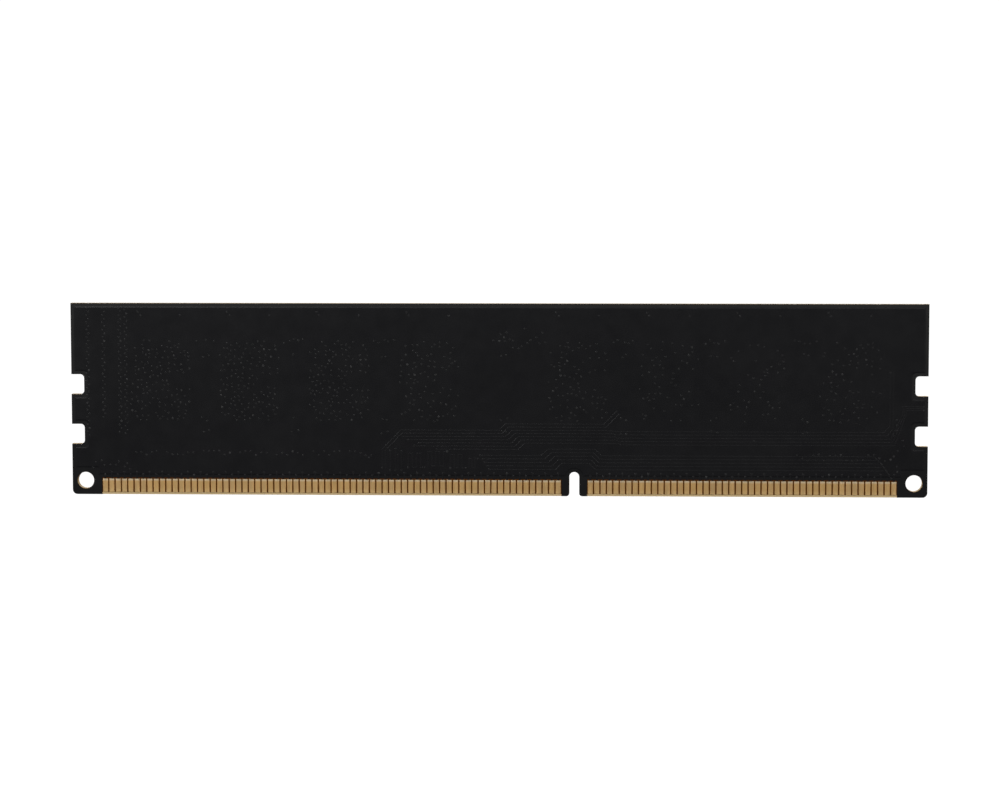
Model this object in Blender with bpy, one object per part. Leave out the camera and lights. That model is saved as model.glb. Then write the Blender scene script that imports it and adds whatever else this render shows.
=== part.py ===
"""A desktop memory module: a 240-contact board, bare on its back, with eight memory chips on its front.

The board stands on its contact edge. X runs along it, to the right as seen from the back; Y runs through
it, and the chips are on the +Y side; Z is up. The origin is the middle of the bottom edge, at mid-thickness.
"""

import math

import bmesh
import bpy
from mathutils import Matrix

MM = 0.001
MESH_GAP = 0.005 * MM

# Driving dimensions of the board
BOARD_LENGTH = 133.35 * MM
BOARD_HEIGHT = 30.0 * MM
LAMINATE_THICKNESS = 1.2 * MM
COPPER_THICKNESS = 0.035 * MM
MASK_THICKNESS = 0.025 * MM
BOTTOM_CORNER_RADIUS = 0.75 * MM
ARC_STEPS = 6

# Slots in the two ends, which the socket's latches hold
LATCH_SLOT_DEPTH = 2.0 * MM
LATCH_SLOT_HEIGHT = 3.12 * MM
LATCH_SLOT_RADIUS = 0.6 * MM
LATCH_SLOT_HEIGHTS = (9.5 * MM, 17.3 * MM)

# Slot in the bottom edge that keys the module to its socket
KEY_X = 12.0 * MM
KEY_WIDTH = 1.55 * MM
KEY_DEPTH = 3.8 * MM
KEY_MOUTH_RADIUS = 0.45 * MM

# Tooling holes in the bottom corners
TOOLING_HOLE_X = 64.6 * MM
TOOLING_HOLE_Z = 2.2 * MM
TOOLING_HOLE_RADIUS = 1.3 * MM
TOOLING_HOLE_MASK_RADIUS = 1.36 * MM
HOLE_SEGMENTS = 32

# Edge contacts, a long and a short row on each face
CONTACT_PITCH = 1.0 * MM
CONTACT_WIDTH = 0.8 * MM
CONTACT_BOTTOM = 0.36 * MM
CONTACT_TOP = 2.42 * MM
CONTACT_WEB_HEIGHT = 0.2 * MM
CONTACT_ROWS = {"long": (-61.5 * MM, 72), "short": (14.5 * MM, 48)}
MASK_WINDOW_MARGIN = 0.1 * MM
EDGE_BEVEL_HEIGHT = 0.34 * MM
EDGE_BEVEL_DEPTH = 0.2 * MM

# Ground copper under the solder mask
COPPER_INSET = 0.5 * MM
COPPER_BOTTOM = 4.3 * MM

# Memory chips: ball-grid packages with the die face down on a thin substrate
CHIP_PITCH = 14.0 * MM
CHIP_ROW_GAP = 23.3 * MM
CHIP_ROW_SHIFT = 1.05 * MM
CHIPS_PER_SIDE = 4
CHIP_Z = 17.8 * MM
CHIP_WIDTH = 8.0 * MM
CHIP_HEIGHT = 11.5 * MM
BALL_STANDOFF = 0.28 * MM
BALL_PITCH = 0.8 * MM
BALL_COLUMNS = 9
BALL_ROWS = 13
EMPTY_BALL_COLUMNS = (3, 4, 5)
BALL_HALF_WIDTH = 0.2 * MM
SUBSTRATE_THICKNESS = 0.18 * MM
MOULD_THICKNESS = 0.735 * MM
DIE_WIDTH = 5.6 * MM
DIE_HEIGHT = 8.8 * MM
DIE_THICKNESS = 0.3 * MM
DIE_CLEARANCE = 0.03 * MM
PIN_MARK_RADIUS = 0.35 * MM
PIN_MARK_DEPTH = 0.04 * MM
PIN_MARK_INSET = 0.9 * MM

# Identification memory, a small leadless package
EEPROM_X = 3.4 * MM
EEPROM_Z = 24.4 * MM
EEPROM_SIZE = (3.0 * MM, 0.55 * MM, 2.0 * MM)

# Four-element resistor arrays, two for each chip, above the contacts
ARRAY_Z = 5.4 * MM
ARRAY_OFFSET = 2.4 * MM
ARRAY_LENGTH = 2.0 * MM
ARRAY_WIDTH = 1.0 * MM
ARRAY_THICKNESS = 0.4 * MM
ARRAY_ELEMENTS = 4
ARRAY_SLOT_WIDTH = 0.2 * MM
ARRAY_SLOT_DEPTH = 0.15 * MM

# Capacitors: a small one above each chip and two large ones below the identification memory
SMALL_CAPACITOR_Z = 26.4 * MM
SMALL_CAPACITOR_SIZE = (1.6 * MM, 0.8 * MM, 0.8 * MM)
LARGE_CAPACITOR_SITES = ((-1.6 * MM, 17.0 * MM), (3.7 * MM, 17.0 * MM))
LARGE_CAPACITOR_SIZE = (1.25 * MM, 0.9 * MM, 2.0 * MM)
CAPACITOR_EDGE_BEVEL = 0.05 * MM
SOLDER_FILM = 0.03 * MM

# Layers, as distances from the middle of the board
LAMINATE_FACE = LAMINATE_THICKNESS / 2
COPPER_BASE = LAMINATE_FACE + MESH_GAP
COPPER_FACE = COPPER_BASE + COPPER_THICKNESS
MASK_BASE = COPPER_FACE + MESH_GAP
MASK_FACE = MASK_BASE + MASK_THICKNESS

SIDES = {"back": -1, "front": 1}


def clear_scene():
    for obj in list(bpy.data.objects):
        bpy.data.objects.remove(obj)


def make_material(name, colour, roughness, metallic=0.0):
    made = bpy.data.materials.new(name)
    made.use_nodes = True
    shader = made.node_tree.nodes["Principled BSDF"]
    shader.inputs["Base Color"].default_value = (*colour, 1.0)
    shader.inputs["Roughness"].default_value = roughness
    shader.inputs["Metallic"].default_value = metallic
    return made


def link_object(name, mesh, material=None, location=(0, 0, 0), parent=None):
    obj = bpy.data.objects.new(name, mesh)
    obj.location = location
    obj.parent = parent
    if material is not None and not mesh.materials:
        mesh.materials.append(material)
    bpy.context.scene.collection.objects.link(obj)
    return obj


def mesh_from(name, bm):
    bmesh.ops.recalc_face_normals(bm, faces=bm.faces)
    mesh = bpy.data.meshes.new(name)
    bm.to_mesh(mesh)
    bm.free()
    return mesh


def extruded_mesh(name, corners, along):
    """A closed prism: the polygon through the corners, swept by the vector along."""
    bm = bmesh.new()
    face = bm.faces.new([bm.verts.new(corner) for corner in corners])
    grown = bmesh.ops.extrude_face_region(bm, geom=[face])["geom"]
    moved = [item for item in grown if isinstance(item, bmesh.types.BMVert)]
    bmesh.ops.translate(bm, verts=moved, vec=along)
    return mesh_from(name, bm)


def layer_mesh(name, outline, near, far):
    """A flat layer: an outline of (x, z) points, from y = near to y = far."""
    return extruded_mesh(name, [(x, near, z) for x, z in outline], (0, far - near, 0))


def box_mesh(name, size, centre=(0, 0, 0)):
    bm = bmesh.new()
    bmesh.ops.create_cube(bm, size=1.0)
    bmesh.ops.scale(bm, vec=size, verts=bm.verts)
    bmesh.ops.translate(bm, vec=centre, verts=bm.verts)
    return mesh_from(name, bm)


def pin_mesh(name, radius, length):
    """A round cutter along Y, centred on its origin."""
    bm = bmesh.new()
    turn = Matrix.Rotation(math.pi / 2, 4, "X")
    bmesh.ops.create_cone(
        bm, cap_ends=True, segments=HOLE_SEGMENTS, radius1=radius, radius2=radius, depth=length, matrix=turn
    )
    return mesh_from(name, bm)


def hide_cutter(cutter):
    cutter.hide_render = True
    cutter.display_type = "WIRE"
    return cutter


def cut(obj, cutter):
    modifier = obj.modifiers.new("cut_" + cutter.name, "BOOLEAN")
    modifier.operation = "DIFFERENCE"
    modifier.solver = "EXACT"
    modifier.object = cutter


def arc(x, z, radius, start, end, steps=ARC_STEPS):
    """Points on an arc about (x, z), between two angles in degrees, ends included."""
    angles = [math.radians(start + (end - start) * i / steps) for i in range(steps + 1)]
    return [(x + radius * math.cos(a), z + radius * math.sin(a)) for a in angles]


def row_span(row):
    """The outer edges of a row's first and last contact."""
    first, count = CONTACT_ROWS[row]
    return first - CONTACT_WIDTH / 2, first + (count - 1) * CONTACT_PITCH + CONTACT_WIDTH / 2


def right_end(half_length, slot_depth, slot_height):
    """The right end's outline above its bottom corner, from the bottom up, with its two latch slots."""
    points = []
    inner = half_length - slot_depth + LATCH_SLOT_RADIUS
    for z in LATCH_SLOT_HEIGHTS:
        low, high = z - slot_height / 2, z + slot_height / 2
        points.append((half_length, low))
        points += arc(inner, low + LATCH_SLOT_RADIUS, LATCH_SLOT_RADIUS, 270, 180)
        points += arc(inner, high - LATCH_SLOT_RADIUS, LATCH_SLOT_RADIUS, 180, 90)
        points.append((half_length, high))
    return points


def mirrored(points):
    return [(-x, z) for x, z in reversed(points)]


def key_slot():
    """The key slot's outline, from left to right along the bottom edge."""
    half, mouth = KEY_WIDTH / 2, KEY_MOUTH_RADIUS
    return (
        arc(KEY_X - half - mouth, mouth, mouth, -90, 0)
        + arc(KEY_X, KEY_DEPTH - half, half, 180, 0, 3 * ARC_STEPS)
        + arc(KEY_X + half + mouth, mouth, mouth, 180, 270)
    )


def contact_window(row):
    low, high = row_span(row)
    low, high = low - MASK_WINDOW_MARGIN, high + MASK_WINDOW_MARGIN
    return [(low, 0), (low, CONTACT_TOP), (high, CONTACT_TOP), (high, 0)]


def board_outline(with_windows):
    """The board's outline as (x, z) points. With windows, it leaves the contact rows bare."""
    half, radius = BOARD_LENGTH / 2, BOTTOM_CORNER_RADIUS
    right_corner = arc(half - radius, radius, radius, -90, 0)
    top_right = [(half, BOARD_HEIGHT)]
    end = right_end(half, LATCH_SLOT_DEPTH, LATCH_SLOT_HEIGHT)
    long_window = contact_window("long") if with_windows else []
    short_window = contact_window("short") if with_windows else []
    bottom = mirrored(right_corner) + long_window + key_slot() + short_window + right_corner
    return bottom + end + top_right + mirrored(end + top_right)


def copper_outline():
    """The ground copper's outline: the upper board, set back from every edge."""
    half = BOARD_LENGTH / 2 - COPPER_INSET
    end = right_end(half, LATCH_SLOT_DEPTH, LATCH_SLOT_HEIGHT + 2 * COPPER_INSET)
    right = [(half, COPPER_BOTTOM)] + end + [(half, BOARD_HEIGHT - COPPER_INSET)]
    return right + mirrored(right)


def comb_outline(row):
    """A row of contacts hanging from a thin web, which the solder mask hides."""
    first, count = CONTACT_ROWS[row]
    low, high = row_span(row)
    web_bottom = CONTACT_TOP + MESH_GAP
    web_top = web_bottom + CONTACT_WEB_HEIGHT
    points = [(high, web_top), (low, web_top)]
    for i in range(count):
        left = first + i * CONTACT_PITCH - CONTACT_WIDTH / 2
        right = left + CONTACT_WIDTH
        points += [(left, CONTACT_BOTTOM), (right, CONTACT_BOTTOM)]
        if i < count - 1:
            points += [(right, web_bottom), (right + CONTACT_PITCH - CONTACT_WIDTH, web_bottom)]
    return points


def make_hole_cutters(name, radius):
    mesh = pin_mesh(name, radius, 4 * LAMINATE_THICKNESS)
    return [
        hide_cutter(link_object(f"{name}_{end}", mesh, location=(x, 0, TOOLING_HOLE_Z)))
        for end, x in (("left", -TOOLING_HOLE_X), ("right", TOOLING_HOLE_X))
    ]


def make_bevel_cutter(side, row):
    """A wedge that takes the bottom edge off one face, along one row of contacts."""
    sign = SIDES[side]
    outside, inside = LAMINATE_FACE + EDGE_BEVEL_DEPTH, LAMINATE_FACE - 2 * EDGE_BEVEL_DEPTH
    low, high = row_span(row)
    low, high = low - MASK_WINDOW_MARGIN, high + MASK_WINDOW_MARGIN
    corners = [
        (low, sign * outside, 2 * EDGE_BEVEL_HEIGHT),
        (low, sign * outside, -EDGE_BEVEL_HEIGHT),
        (low, sign * inside, -EDGE_BEVEL_HEIGHT),
    ]
    mesh = extruded_mesh("bevel_cutter", corners, (high - low, 0, 0))
    return hide_cutter(link_object(f"bevel_cutter_{side}_{row}", mesh))


def make_board(laminate, copper, mask, gold):
    """The laminate, and on each face its ground copper, contact rows and solder mask."""
    board = link_object(
        "circuit_board", layer_mesh("circuit_board", board_outline(False), -LAMINATE_FACE, LAMINATE_FACE), laminate
    )
    for cutter in make_hole_cutters("hole_cutter", TOOLING_HOLE_RADIUS):
        cut(board, cutter)
    mask_cutters = make_hole_cutters("mask_hole_cutter", TOOLING_HOLE_MASK_RADIUS)
    for side, sign in SIDES.items():
        for row in CONTACT_ROWS:
            cut(board, make_bevel_cutter(side, row))
            name = f"contacts_{side}_{row}"
            link_object(name, layer_mesh(name, comb_outline(row), sign * COPPER_BASE, sign * COPPER_FACE), gold)
        name = f"ground_copper_{side}"
        link_object(name, layer_mesh(name, copper_outline(), sign * COPPER_BASE, sign * COPPER_FACE), copper)
        name = f"solder_mask_{side}"
        skin = link_object(name, layer_mesh(name, board_outline(True), sign * MASK_BASE, sign * MASK_FACE), mask)
        for cutter in mask_cutters:
            cut(skin, cutter)


def grid_lines(count, pitch, half_width, length):
    """Cell edges along one side of a package: a margin, then ball, gap, ball and so on, then a margin."""
    lines = [-length / 2]
    for i in range(count):
        centre = (i - (count - 1) / 2) * pitch
        lines += [centre - half_width, centre + half_width]
    return lines + [length / 2]


def make_substrate_mesh():
    """The package's substrate with its solder balls, as one body. Its local origin is on the board's mask."""
    xs = grid_lines(BALL_COLUMNS, BALL_PITCH, BALL_HALF_WIDTH, CHIP_WIDTH)
    zs = grid_lines(BALL_ROWS, BALL_PITCH, BALL_HALF_WIDTH, CHIP_HEIGHT)
    bm = bmesh.new()
    underside = [[bm.verts.new((x, BALL_STANDOFF, z)) for z in zs] for x in xs]
    balls = []
    for i in range(len(xs) - 1):
        for j in range(len(zs) - 1):
            ring = (underside[i][j], underside[i + 1][j], underside[i + 1][j + 1], underside[i][j + 1])
            cell = bm.faces.new(ring)
            has_ball = i % 2 == 1 and j % 2 == 1 and (i // 2) not in EMPTY_BALL_COLUMNS
            if has_ball:
                balls.append(cell)
    rim = [edge for edge in bm.edges if edge.is_boundary]
    walls = bmesh.ops.extrude_edge_only(bm, edges=rim)["geom"]
    upper = [item for item in walls if isinstance(item, bmesh.types.BMVert)]
    bmesh.ops.translate(bm, verts=upper, vec=(0, SUBSTRATE_THICKNESS, 0))
    top_rim = [item for item in walls if isinstance(item, bmesh.types.BMEdge) and item.is_boundary]
    bmesh.ops.contextual_create(bm, geom=top_rim)
    feet = bmesh.ops.extrude_discrete_faces(bm, faces=balls)["faces"]
    for foot in feet:
        bmesh.ops.translate(bm, verts=foot.verts, vec=(0, SOLDER_FILM - BALL_STANDOFF, 0))
    return mesh_from("dram_substrate", bm)


def make_mould_mesh():
    """The package's moulding: a block with a pocket for the die underneath and a pin mark on top."""
    bm = bmesh.new()
    bmesh.ops.create_cube(bm, size=1.0)
    bmesh.ops.scale(bm, vec=(CHIP_WIDTH, MOULD_THICKNESS, CHIP_HEIGHT), verts=bm.verts)
    bmesh.ops.translate(bm, vec=(0, MOULD_THICKNESS / 2, 0), verts=bm.verts)
    bm.faces.ensure_lookup_table()
    floor = min(bm.faces, key=lambda face: face.calc_center_median().y)
    bmesh.ops.inset_region(bm, faces=[floor], thickness=(CHIP_WIDTH - DIE_WIDTH) / 2 - DIE_CLEARANCE)
    reach = DIE_HEIGHT / 2 + DIE_CLEARANCE
    for vert in floor.verts:
        vert.co.z = math.copysign(reach, vert.co.z)
    pocket = bmesh.ops.extrude_face_region(bm, geom=[floor])["geom"]
    roof = [item for item in pocket if isinstance(item, bmesh.types.BMVert)]
    bmesh.ops.translate(bm, verts=roof, vec=(0, DIE_THICKNESS + 2 * DIE_CLEARANCE, 0))
    bmesh.ops.delete(bm, geom=[floor], context="FACES_ONLY")
    return mesh_from("dram_mould", bm)


def chip_centres():
    """The chips' X positions, left to right: two rows either side of a wider gap."""
    left = [-CHIP_ROW_GAP / 2 - i * CHIP_PITCH for i in reversed(range(CHIPS_PER_SIDE))]
    right = [CHIP_ROW_GAP / 2 + i * CHIP_PITCH for i in range(CHIPS_PER_SIDE)]
    return [x + CHIP_ROW_SHIFT for x in left + right]


def make_chips(moulding, silicon, bismaleimide):
    """Eight chips. Each is a substrate with its balls, a die on it and the moulding over both."""
    substrate = make_substrate_mesh()
    mould = make_mould_mesh()
    die = box_mesh("dram_die", (DIE_WIDTH, DIE_THICKNESS, DIE_HEIGHT), (0, DIE_THICKNESS / 2, 0))
    mark_mesh = pin_mesh("pin_mark_cutter", PIN_MARK_RADIUS, 2 * PIN_MARK_DEPTH)
    substrate_top = BALL_STANDOFF + SUBSTRATE_THICKNESS + MESH_GAP
    mark_x, mark_z = CHIP_WIDTH / 2 - PIN_MARK_INSET, CHIP_HEIGHT / 2 - PIN_MARK_INSET
    for number, x in enumerate(chip_centres(), start=1):
        site = link_object(f"dram_{number}_site", None, location=(x, MASK_FACE, CHIP_Z))
        link_object(f"dram_{number}_substrate", substrate, bismaleimide, parent=site)
        link_object(f"dram_{number}_die", die, silicon, (0, substrate_top, 0), site)
        block = link_object(f"dram_{number}_mould", mould, moulding, (0, substrate_top, 0), site)
        mark_place = (mark_x, substrate_top + MOULD_THICKNESS, mark_z)
        mark = hide_cutter(link_object(f"dram_{number}_mark_cutter", mark_mesh, location=mark_place, parent=site))
        cut(block, mark)


def array_outline():
    """A resistor array's outline: a slot in each long side between its elements."""
    half_length, half_width = ARRAY_LENGTH / 2, ARRAY_WIDTH / 2
    pitch = ARRAY_LENGTH / ARRAY_ELEMENTS
    lower = [(-half_length, -half_width)]
    for i in range(1, ARRAY_ELEMENTS):
        middle = -half_length + i * pitch
        left, right = middle - ARRAY_SLOT_WIDTH / 2, middle + ARRAY_SLOT_WIDTH / 2
        roof = ARRAY_SLOT_DEPTH - half_width
        lower += [(left, -half_width), (left, roof), (right, roof), (right, -half_width)]
    lower.append((half_length, -half_width))
    return lower + [(-x, -z) for x, z in lower]


def make_resistor_arrays(ceramic):
    mesh = layer_mesh("resistor_array", array_outline(), 0, ARRAY_THICKNESS)
    base = MASK_FACE + SOLDER_FILM
    sites = [x + offset for x in chip_centres() for offset in (-ARRAY_OFFSET, ARRAY_OFFSET)]
    for number, x in enumerate(sites, start=1):
        link_object(f"resistor_array_{number:02d}", mesh, ceramic, (x, base, ARRAY_Z))


def make_capacitors(ceramic):
    base = MASK_FACE + SOLDER_FILM
    small = box_mesh("small_capacitor", SMALL_CAPACITOR_SIZE, (0, SMALL_CAPACITOR_SIZE[1] / 2, 0))
    large = box_mesh("large_capacitor", LARGE_CAPACITOR_SIZE, (0, LARGE_CAPACITOR_SIZE[1] / 2, 0))
    made = [
        link_object(f"chip_capacitor_{number}", small, ceramic, (x, base, SMALL_CAPACITOR_Z))
        for number, x in enumerate(chip_centres(), start=1)
    ]
    made += [
        link_object(f"bulk_capacitor_{number}", large, ceramic, (x, base, z))
        for number, (x, z) in enumerate(LARGE_CAPACITOR_SITES, start=1)
    ]
    for capacitor in made:
        bevel = capacitor.modifiers.new("edges", "BEVEL")
        bevel.width = CAPACITOR_EDGE_BEVEL
        bevel.segments = 1


def make_eeprom(moulding):
    mesh = box_mesh("identification_memory", EEPROM_SIZE, (0, EEPROM_SIZE[1] / 2, 0))
    link_object("identification_memory", mesh, moulding, (EEPROM_X, MASK_FACE + SOLDER_FILM, EEPROM_Z))


def main():
    clear_scene()
    laminate = make_material("laminate", (0.52, 0.42, 0.25), 0.6)
    copper = make_material("copper", (0.72, 0.35, 0.2), 0.35, 1.0)
    mask = make_material("solder_mask", (0.012, 0.012, 0.014), 0.35)
    gold = make_material("gold", (0.72, 0.5, 0.24), 0.3, 1.0)
    moulding = make_material("moulding", (0.02, 0.02, 0.021), 0.6)
    silicon = make_material("silicon", (0.2, 0.2, 0.23), 0.2, 0.6)
    bismaleimide = make_material("chip_substrate", (0.04, 0.12, 0.05), 0.5)
    resistor = make_material("resistor_body", (0.03, 0.03, 0.03), 0.5)
    capacitor = make_material("capacitor_body", (0.36, 0.25, 0.17), 0.5)
    make_board(laminate, copper, mask, gold)
    make_chips(moulding, silicon, bismaleimide)
    make_resistor_arrays(resistor)
    make_capacitors(capacitor)
    make_eeprom(moulding)


main()
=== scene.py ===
"""Looks for a bare-backed memory module: solder mask relief, gold contacts, chips and small parts.

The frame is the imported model: X along the board, -Y the bare back that the camera sees, Z up from the
contact edge. Layouts below are in millimetres on the board's plane, as (x, z), and become metres when a
mesh is made.
"""

import math
import random

import bmesh
import bpy
from mathutils import Matrix, Vector
from mathutils.geometry import tessellate_polygon


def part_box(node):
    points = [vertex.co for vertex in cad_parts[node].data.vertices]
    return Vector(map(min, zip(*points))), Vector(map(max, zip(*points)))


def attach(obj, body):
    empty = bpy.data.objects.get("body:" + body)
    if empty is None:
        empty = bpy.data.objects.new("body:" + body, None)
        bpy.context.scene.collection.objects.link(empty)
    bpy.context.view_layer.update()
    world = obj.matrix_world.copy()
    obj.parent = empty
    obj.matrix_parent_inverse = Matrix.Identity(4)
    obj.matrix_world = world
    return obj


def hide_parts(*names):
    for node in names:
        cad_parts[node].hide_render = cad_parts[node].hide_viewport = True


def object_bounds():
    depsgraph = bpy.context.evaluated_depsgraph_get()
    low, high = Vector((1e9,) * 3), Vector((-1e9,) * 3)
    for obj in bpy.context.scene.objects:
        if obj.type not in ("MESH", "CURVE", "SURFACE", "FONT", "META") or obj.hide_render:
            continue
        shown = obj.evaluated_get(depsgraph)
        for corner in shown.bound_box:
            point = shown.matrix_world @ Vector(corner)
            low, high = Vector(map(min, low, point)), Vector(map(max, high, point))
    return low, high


MM = 0.001
# In metres
WELD_DISTANCE = 1e-7
BACK, FRONT = -1, 1

# Camera, as seen from the back and a little above
CAMERA_DISTANCE = 450.0
CAMERA_TARGET = (0.415, 0.0, 14.954)
CAMERA_YAW = 2.62
CAMERA_PITCH = 4.92
CAMERA_ROLL = -0.051
CAMERA_LENS = 104.05

# Solder mask: a rim on bare laminate round a plateau over the ground copper
RIM_WIDTH = 0.5
RIM_DROP = 0.03
SHOULDER = 0.2
SHEET_THICKNESS = 0.025
PLATEAU_BOTTOM = 3.1
HOLE_CLEARANCE = 2.0
WINDOW_TOP = 2.66
WINDOW_MARGIN = 0.1

# Board outline features
LATCH_DEPTH = 2.0
LATCH_HEIGHT = 3.12
LATCH_RADIUS = 0.6
LATCH_CENTRES = (9.5, 17.3)
CORNER_RADIUS = 0.75
KEY_X, KEY_WIDTH, KEY_DEPTH, KEY_MOUTH = 12.0, 1.55, 3.8, 0.45
HOLE_X, HOLE_Z, HOLE_RADIUS = 64.6, 2.2, 1.34
ARC_STEPS = 6
KEY_ARC_STEPS = 18
HOLE_STEPS = 40

# Contacts
PITCH = 1.0
CONTACT_WIDTH = 0.8
CONTACT_BOTTOM = 0.36
CONTACT_TOP = 2.46
CONTACT_FLANK = 0.03
CONTACT_LIFT = 0.002
# Each row's first contact and how many it has
CONTACT_ROWS = {"long": (-61.5, 72), "short": (14.5, 48)}

# Relief of traces and vias under the mask. Its foot is sunk in the mask's face.
RELIEF_SINK = 0.004
TRACE_WIDTH = 0.13
TRACE_FLANK = 0.035
TRACE_HEIGHT = 0.011
# A mitre widens a corner by no more than one over this
SHARPEST_MITRE = 0.5
SCRATCH_WIDTH = 0.03
SCRATCH_HEIGHT = 0.006
SCRATCHES = (((-20.7, 17.6), (-21.7, 13.9)), ((53.0, 12.2), (56.4, 11.3)))
VIA_RADIUS = 0.17
# Each ring of a via: its share of the radius, and its height over the mask
VIA_PROFILE = ((1.0, -0.008), (0.9, 0.007), (0.72, 0.012), (0.5, 0.01), (0.28, 0.001))
VIA_SEGMENTS = 12
VIA_GAP = 0.54

# Traces of the back
BUS_PITCH = 0.5
LOWER_BUS_PITCH = 0.55
# The bus's other traces: place in the bus, and where it begins. The last ones run to the latch slot.
BUS_STARTS = ((2, -15.9), (3, -13.9), (4, -12.2), (5, -13.0), (6, -9.4))
BUS_TO_LATCH = 4
# Straight stubs: place and top end
STUB_BOTTOM = 3.9
STUBS = ((-16.7, 7.0), (-15.9, 7.3), (-15.5, 6.4), (-15.0, 6.9))
# Tuning loops: left end, low and high, step across, turns
MEANDERS = (
    (-13.9, 4.4, 6.6, 0.65, 4),
    (-10.8, 4.6, 6.9, 0.6, 5),
    (-7.3, 4.3, 6.4, 0.6, 4),
    (-4.4, 4.4, 5.8, 0.45, 3),
)

# Short traces above the contacts, of two lengths in turn
NECK_GAP = 0.05
NECK_TOP = 3.0
NECK_STAGGER = 0.42
NECK_VIA_OFFSET = 0.1

# Vias under each chip: a rounded square, and a bare patch in shares of the reach from the middle
CHIP_VIA_TRIES = (330, 330, 300, 170, 150, 80, 60, 120)
CHIP_VIA_REACH = (4.7, 6.3)
CHIP_VIA_ROUNDNESS = 3
CHIP_VIA_LIMIT = 1.3
BARE_PATCH_LOW = (0.25, -0.15)
BARE_PATCH_HIGH = (1.0, 0.18)

# Columns of vias down the left end: place, lowest point, and the offsets of one step's vias
STITCH_COLUMNS = (
    (-64.1, 8.6, ((0.0, 0.0),)),
    (-61.6, 11.0, ((0.0, 0.0),)),
    (-58.6, 9.2, ((-0.45, 0.0), (0.5, -0.28))),
)
STITCH_TOP = 29.2
STITCH_PITCH = 0.57
STITCH_SWINGS = (-0.1, 0.2)

# Groups of vias between two chips: height and count
GAP_VIAS = ((24.1, 5), (21.9, 2), (11.9, 2), (9.9, 2))
GAP_VIA_PITCH = 0.75
GAP_SCATTER_X, GAP_SCATTER_Z = 0.2, 0.35
# Vias over each chip, from its middle
TOP_VIAS = ((-3.1, 28.1), (3.1, 28.1), (-3.5, 28.6))
# Rows of vias: first place, pitch, count, height, and lowest and highest scatter
MEMORY_VIAS = (0.6, 0.46, 16, 24.5, -1.7, 1.7)
RIGHT_VIAS = (46.5, 0.85, 18, 6.4, -0.9, 0.3)
LEFT_VIAS = (-63.4, 0.45, 14, 4.6, -1.0, 1.2)
# A long row over the left contacts, with steps up and down and one of every seven places left out
LONG_ROW_FIRST, LONG_ROW_PITCH, LONG_ROW_COUNT, LONG_ROW_Z = -56.6, 0.82, 46, 6.5
LONG_ROW_STEPS = (-0.25, 0.1, 0.35)
LONG_ROW_CYCLE, LONG_ROW_MISSING = 7, 5
# A column by the lower right latch slot
COLUMN_X, COLUMN_Z, COLUMN_PITCH, COLUMN_COUNT = 61.9, 3.2, 0.8, 12
COLUMN_SCATTER = (-0.6, 1.2)

# Traces of the front
ARRAY_FAN = 0.35
ARRAY_TRACE_BOTTOM = 3.6
ARRAY_TRACE_GAP = 0.3
FAN_LOW, FAN_HIGH = 7.2, 8.0
FRONT_BUS_PITCH = 0.5
CHIP_BUS_Z = 16.5
CHIP_BUS_STEP = 1.0
CHIP_BUS_END = 4.5
LONG_BUS_Z = 10.9
LONG_BUS_END = 3.5
FOOTPRINT_MARGIN = 0.3

# Chips
WIDE_CHIP_GAP = 20.0
SUBSTRATE_GAP = 0.005
SUBSTRATE_THICKNESS = 0.18
BALL_PITCH = 0.8
BALL_COLUMNS = (-4, -3, -2, 2, 3, 4)
BALL_ROWS = range(-6, 7)
BALL_RADIUS = 0.24
BALL_SINK = 0.01
BALL_SEGMENTS = 12
BALL_RINGS = 6
# How far from its middle a ball is cut flat, in degrees
BALL_CUT = 62

# Solder fillets and the metal ends of small parts
FILLET_STEPS = 5
FILLET_SINK = 0.002
END_SHARE = 0.24
END_GROWTH = 0.015
END_GAP = 0.01
BODY_INSET = 0.02
FILLET_OVERHANG = 0.03
FILLET_REACH = 0.28
FILLET_SHARE = 0.55

# Smallest capacitors: place from the middle of a chip or a gap, height, and whether turned upright
TINY_HALF_LENGTH, TINY_HALF_WIDTH = 0.5, 0.25
TINY_BOTTOM, TINY_TOP = 0.03, 0.48
TINY_BY_CHIP = (
    (-3.1, 27.6, False),
    (3.1, 27.6, False),
    (-2.2, 25.0, True),
    (2.2, 25.0, True),
    (-3.4, 9.6, True),
    (3.4, 9.6, True),
    (0.0, 5.4, True),
)
TINY_BY_GAP = ((-1.0, 22.9, False), (1.0, 22.9, False), (0.0, 20.2, True), (0.0, 13.2, True))
TINY_BY_WIDE_GAP = ((-3.4, 24.4, True), (0.0, 13.6, False))
TINY_ROW_PITCH = 1.2
TINY_ROW_COUNT = 5
TINY_ROW_Z = 21.2

# Resistor arrays and the identification memory
LEAD_PITCH = 0.5
LEAD_FILLET_REACH = 0.22
CERAMIC_INSET, CERAMIC_DROP = 0.03, 0.05
GLASS_INSET, GLASS_MARGIN, GLASS_DEPTH = 0.05, 0.2, 0.06
ARRAY_END_HALF_WIDTH, ARRAY_END_DEPTH, ARRAY_END_DROP = 0.14, 0.2, 0.02
ARRAY_FILLET_HALF_WIDTH, ARRAY_FILLET_RISE = 0.15, 0.2
MEMORY_LIFT = 0.02
PAD_HALF_WIDTH, PAD_HEIGHT, PAD_LIFT = 0.13, 0.16, 0.008
PAD_OUT, PAD_IN = 0.02, 0.3
PAD_FILLET_RISE = 0.14

# Solder mask's finish: grains to the millimetre, and a power that leaves the glint, a painted highlight, to
# few vias
MASK_ROUGHNESS = 0.34
MASK_SPECULAR = 0.18
MOTTLING_GRAIN = 0.08
DUST_GRAIN = 0.4
DUST_COLOUR = (0.03, 0.03, 0.032)
DUST_SIZE = (0.03, 0.06)
DUST_CHANCE = (0.93, 0.95)
GLINT_RARITY = 14.0
# Where the rim begins to be painted lighter, as light from above would make it, as a share of the board's
# height
RIM_PAINTED_LIGHT_START = 0.15
# Thickness of a dark and a pale ply of the laminate together
PLY_PITCH = 0.15

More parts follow.
